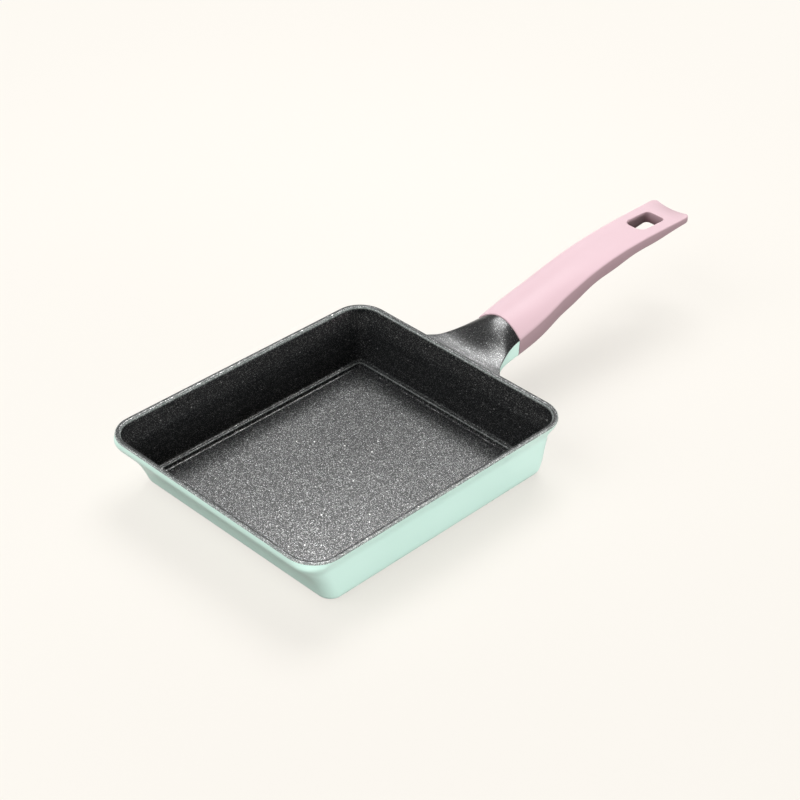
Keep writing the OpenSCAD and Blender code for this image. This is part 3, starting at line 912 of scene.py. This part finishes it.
# The painted shade mixes the pink towards a deep plum.
painted_shade_share = node("ShaderNodeAttribute", attribute_name="painted_shade").outputs["Fac"]
link(blended(node, link, painted_shade_share, top_pink, shade(84, 46, 54)), shader.inputs["Base Color"])
link(spread_over(node, link, faint_cloud, 0.3, 0.7, 0.5, 0.6), shader.inputs["Roughness"])
link(raised(node, link, fine_peel, 0.2, 0.00015), shader.inputs["Normal"])
shader.inputs["IOR"].default_value = 1.46
shader.inputs["Sheen Weight"].default_value = 0.12
shader.inputs["Sheen Roughness"].default_value = 0.5
soft_handle.data.materials.clear()
soft_handle.data.materials.append(pink_moulding)
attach(soft_handle, "root")
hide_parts("handle")

# The handle's fixing. A zinc-plated pan-head screw with a cross recess, a split spring washer
# under its head and a flat washer against the seat, all turned about the screw's axis at the
# bottom of the well under the handle.

head_diameter = 0.0086
head_height = 0.0024
recess_width = 0.0011
recess_depth = 0.0015
recess_reach_share = 0.3
recess_taper = [1.15, 1.0, 0.45]
recess_overrun = 0.001
broken_edge = 0.0001
thread_chamfer = 0.0003
washer_thickness = 0.0008
spring_thickness = 0.0011
spring_cut = 0.001
spring_z = seat_z - washer_thickness - spring_thickness
head_z = spring_z - head_height

head_round = arc(6, 0, 90)
head_edge = 0.0009
head_profile = [(head_diameter / 2 - head_edge + head_edge * np.sin(a),
                 head_z + head_edge * (1 - np.cos(a))) for a in head_round]
head_profile.append((head_diameter / 2, spring_z - broken_edge))
head_profile.append((head_diameter / 2 - broken_edge, spring_z))
head_profile.append((screw_diameter / 2, spring_z))
head_profile.append((screw_diameter / 2, tang_thickness / 2 - thread_chamfer))
head_profile.append((screw_diameter / 2 - thread_chamfer, tang_thickness / 2))
handle_screw = piece("cross_head_screw", [placed(rod(head_profile), screw_distance)])
cross = []
corners_x = np.array([1, -1, -1, 1]) * (head_diameter * recess_reach_share)
corners_y = np.array([1, 1, -1, -1]) * recess_width / 2
deep = np.array(recess_taper)[:, None]
level = np.array([-recess_overrun, 0.0, recess_depth])[:, None] + head_z + 0 * corners_x
for turn in (0.0, np.pi / 2):
    cross_x = deep * corners_x * np.cos(turn) - corners_y * np.sin(turn)
    cross_y = deep * corners_x * np.sin(turn) + corners_y * np.cos(turn)
    blade = np.stack([cross_x, cross_y, level], axis=2)
    cross.append(piece("cross_cutter", [placed(shut(blade), screw_distance)]))
cut_away(handle_screw, cross)


def washer(name, inner, outer, low, high, gap_width):
    """Flat ring of rectangular section with broken edges; a cut ring is swept only as far
    as the cut's width leaves, and its two ends are shut."""
    b = broken_edge
    r = np.array([inner, inner + b, outer - b, outer, outer, outer - b, inner + b, inner])
    h = np.array([low + b, low, low, low + b, high - b, high, high, high - b])
    missing = gap_width / outer
    a = np.linspace(missing / 2, 2 * np.pi - missing / 2, 97)
    if not gap_width:
        a = a[:-1]
    rows = np.stack([r[None, :] * np.cos(a)[:, None], r[None, :] * np.sin(a)[:, None],
                     h[None, :] + 0 * a[:, None]], axis=2)
    if gap_width:
        ring = shut(rows[:, ::-1])
    else:
        ring = skin(np.concatenate([rows, rows[:1]])[:, ::-1])
    return piece(name, [placed(ring, screw_distance)])


ring_hole = screw_diameter / 2 + fit
split_washer = washer("split_washer", ring_hole, head_diameter / 2, spring_z,
                      spring_z + spring_thickness, spring_cut)
plain_washer = washer("plain_washer", ring_hole, washer_diameter / 2,
                      seat_z - washer_thickness, seat_z, 0)

for made, stands_for, slot, dark, pale, rough in (
        (handle_screw, "handle_screw", "screw_steel", (182, 185, 190), (212, 214, 216), 0.24),
        (split_washer, "spring_washer", "spring_steel", (112, 114, 118), (150, 151, 154), 0.36),
        (plain_washer, "flat_washer", "washer_steel", (166, 168, 172), (196, 198, 200), 0.3)):
    metal, node, link, shader = finish(slot)
    fine_peel, faint_cloud = grained(node, link, 2600.0, 420.0)
    link(blended(node, link, faint_cloud, shade(*dark), shade(*pale)),
         shader.inputs["Base Color"])
    link(spread_over(node, link, faint_cloud, 0.3, 0.7, rough, rough + 0.14),
         shader.inputs["Roughness"])
    link(raised(node, link, fine_peel, 0.25, 0.00005), shader.inputs["Normal"])
    shader.inputs["Metallic"].default_value = 1.0
    made.data.materials.clear()
    made.data.materials.append(metal)
    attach(made, "root")
    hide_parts(stands_for)

# The studio. A cream table that runs into a cream backdrop, a faint room light, a broad
# overhead box behind the pan that lays a sheen on the cooking floor, and three plain boxes
# for the mint walls: one to the right, one in front and one low behind the pan.

scene = bpy.context.scene
scene.view_settings.view_transform = "Standard"
cream = shade(254, 250, 243)
table_half = 8.0
table_drop = 0.0002
fade_start = 0.3
fade_end = 0.75
lamp_aim = np.array([0.05, 0, 0.03])
table_mesh = bpy.data.meshes.new("table")
table_mesh.from_pydata([(-table_half, -table_half, -table_drop),
                        (table_half, -table_half, -table_drop),
                        (table_half, table_half, -table_drop),
                        (-table_half, table_half, -table_drop)], [], [(0, 1, 2, 3)])
table = bpy.data.objects.new("table", table_mesh)
scene.collection.objects.link(table)
cream_table, node, link, shader = finish("cream_table")
output = shader.outputs["BSDF"].links[0].to_node
shader.inputs["Base Color"].default_value = shade(122, 120, 117)
shader.inputs["Roughness"].default_value = 0.9
shader.inputs["Specular IOR Level"].default_value = 0.0


def mixed(share, first, second):
    """Shader that runs from the first to the second with the share."""
    mix = node("ShaderNodeMixShader")
    for socket, value in zip(mix.inputs, (share, first, second)):
        link(value, socket)
    return mix.outputs[0]


# The camera sees the lit table with a glow that takes over away from the pan. Diffuse light
# comes off a greyer table. Glossy faces see a third of the lit one, clear pieces all of it.
seen = node("ShaderNodeLightPath")
glossy = spread_over(node, link, seen.outputs["Is Glossy Ray"], 0, 1, 0, 0.35)
mirrored = worked(node, link, "MAXIMUM", glossy, seen.outputs["Is Transmission Ray"])
reach = node("ShaderNodeVectorMath", operation="LENGTH")
link(node("ShaderNodeTexCoord").outputs["Object"], reach.inputs[0])
reach = reach.outputs["Value"]
glow = node("ShaderNodeEmission")
glow.inputs["Color"].default_value = cream
link(spread_over(node, link, reach, fade_start, fade_end, 0.865, 1.0, True),
     glow.inputs["Strength"])
lit = node("ShaderNodeBsdfDiffuse")
lit.inputs["Color"].default_value = cream
glowing = spread_over(node, link, reach, fade_start, fade_end, 0.8, 1.0, True)
soft_shadow = mixed(glowing, lit.outputs[0], glow.outputs[0])
reflected = mixed(mirrored, shader.outputs["BSDF"], lit.outputs[0])
shown = mixed(seen.outputs["Is Camera Ray"], reflected, soft_shadow)
link(shown, output.inputs["Surface"])
table.data.materials.append(cream_table)

world = bpy.data.worlds.new("cream_room")
scene.world = world
world.use_nodes = True
room = world.node_tree
back = room.nodes["Background"]
back.inputs["Color"].default_value = cream
seen = room.nodes.new("ShaderNodeLightPath")
level = room.nodes.new("ShaderNodeMapRange")
room.links.new(seen.outputs["Is Camera Ray"], level.inputs["Value"])
level.inputs["To Min"].default_value = 0.1
level.inputs["To Max"].default_value = 1.0
room.links.new(level.outputs["Result"], back.inputs["Strength"])


def softbox(name, azimuth, elevation, distance, width, height, radiance, mirrored):
    """Soft lamp that faces the pan from a compass direction and a height in degrees. Its
    power is radiance times pi times its area. Only a mirrored one shows in glossy faces."""
    a = np.radians(azimuth)
    e = np.radians(elevation)
    away = np.array([np.sin(a) * np.cos(e), np.cos(a) * np.cos(e), np.sin(e)])
    side_way = np.cross([0, 0, 1.0], away)
    side_way /= np.linalg.norm(side_way)
    up = np.cross(away, side_way)
    lamp = bpy.data.lights.new(name, "AREA")
    lamp.shape = "RECTANGLE"
    lamp.size = width
    lamp.size_y = height
    lamp.energy = radiance * np.pi * width * height
    hung = bpy.data.objects.new(name, lamp)
    spot = away * distance + lamp_aim
    axes = np.eye(4)
    axes[:3, 0] = side_way
    axes[:3, 1] = up
    axes[:3, 2] = away
    axes[:3, 3] = spot
    hung.matrix_world = Matrix(axes.tolist())
    hung.visible_camera = False
    hung.visible_glossy = mirrored
    scene.collection.objects.link(hung)


softbox("overhead_box", 56.0, 60.0, 1.35, 0.8, 0.85, 8.1, True)
softbox("near_side_box", 174.0, 6.0, 2.2, 2.0, 0.4, 16.2, False)
softbox("front_box", 282.0, 42.0, 2.2, 2.0, 2.0, 4.4, False)
softbox("far_side_box", 50.0, 8.0, 2.2, 2.0, 0.5, 8.0, False)

# The camera stands where the photograph was taken from: off the corner between the front and
# the right wall, a little over 35 degrees up, rolled by under three degrees.

camera_spot = [-0.62787, -0.61672, 0.67233]
azimuth = np.radians(47.55)
elevation = np.radians(35.091)
roll = np.radians(2.772)
ahead = np.array([np.sin(azimuth) * np.cos(elevation), np.cos(azimuth) * np.cos(elevation),
                  -np.sin(elevation)])
right = np.cross(ahead, [0, 0, 1.0])
right /= np.linalg.norm(right)
up = np.cross(right, ahead)
axes = np.eye(4)
axes[:3, 0] = right * np.cos(roll) + up * np.sin(roll)
axes[:3, 1] = up * np.cos(roll) - right * np.sin(roll)
axes[:3, 2] = -ahead
axes[:3, 3] = camera_spot
lens = bpy.data.cameras.new("photo_camera")
lens.lens = 93.55
lens.sensor_width = 36.0
lens.shift_x = -0.5 / 800
photo_camera = bpy.data.objects.new("photo_camera", lens)
photo_camera.matrix_world = Matrix(axes.tolist())
scene.collection.objects.link(photo_camera)
scene.camera = photo_camera
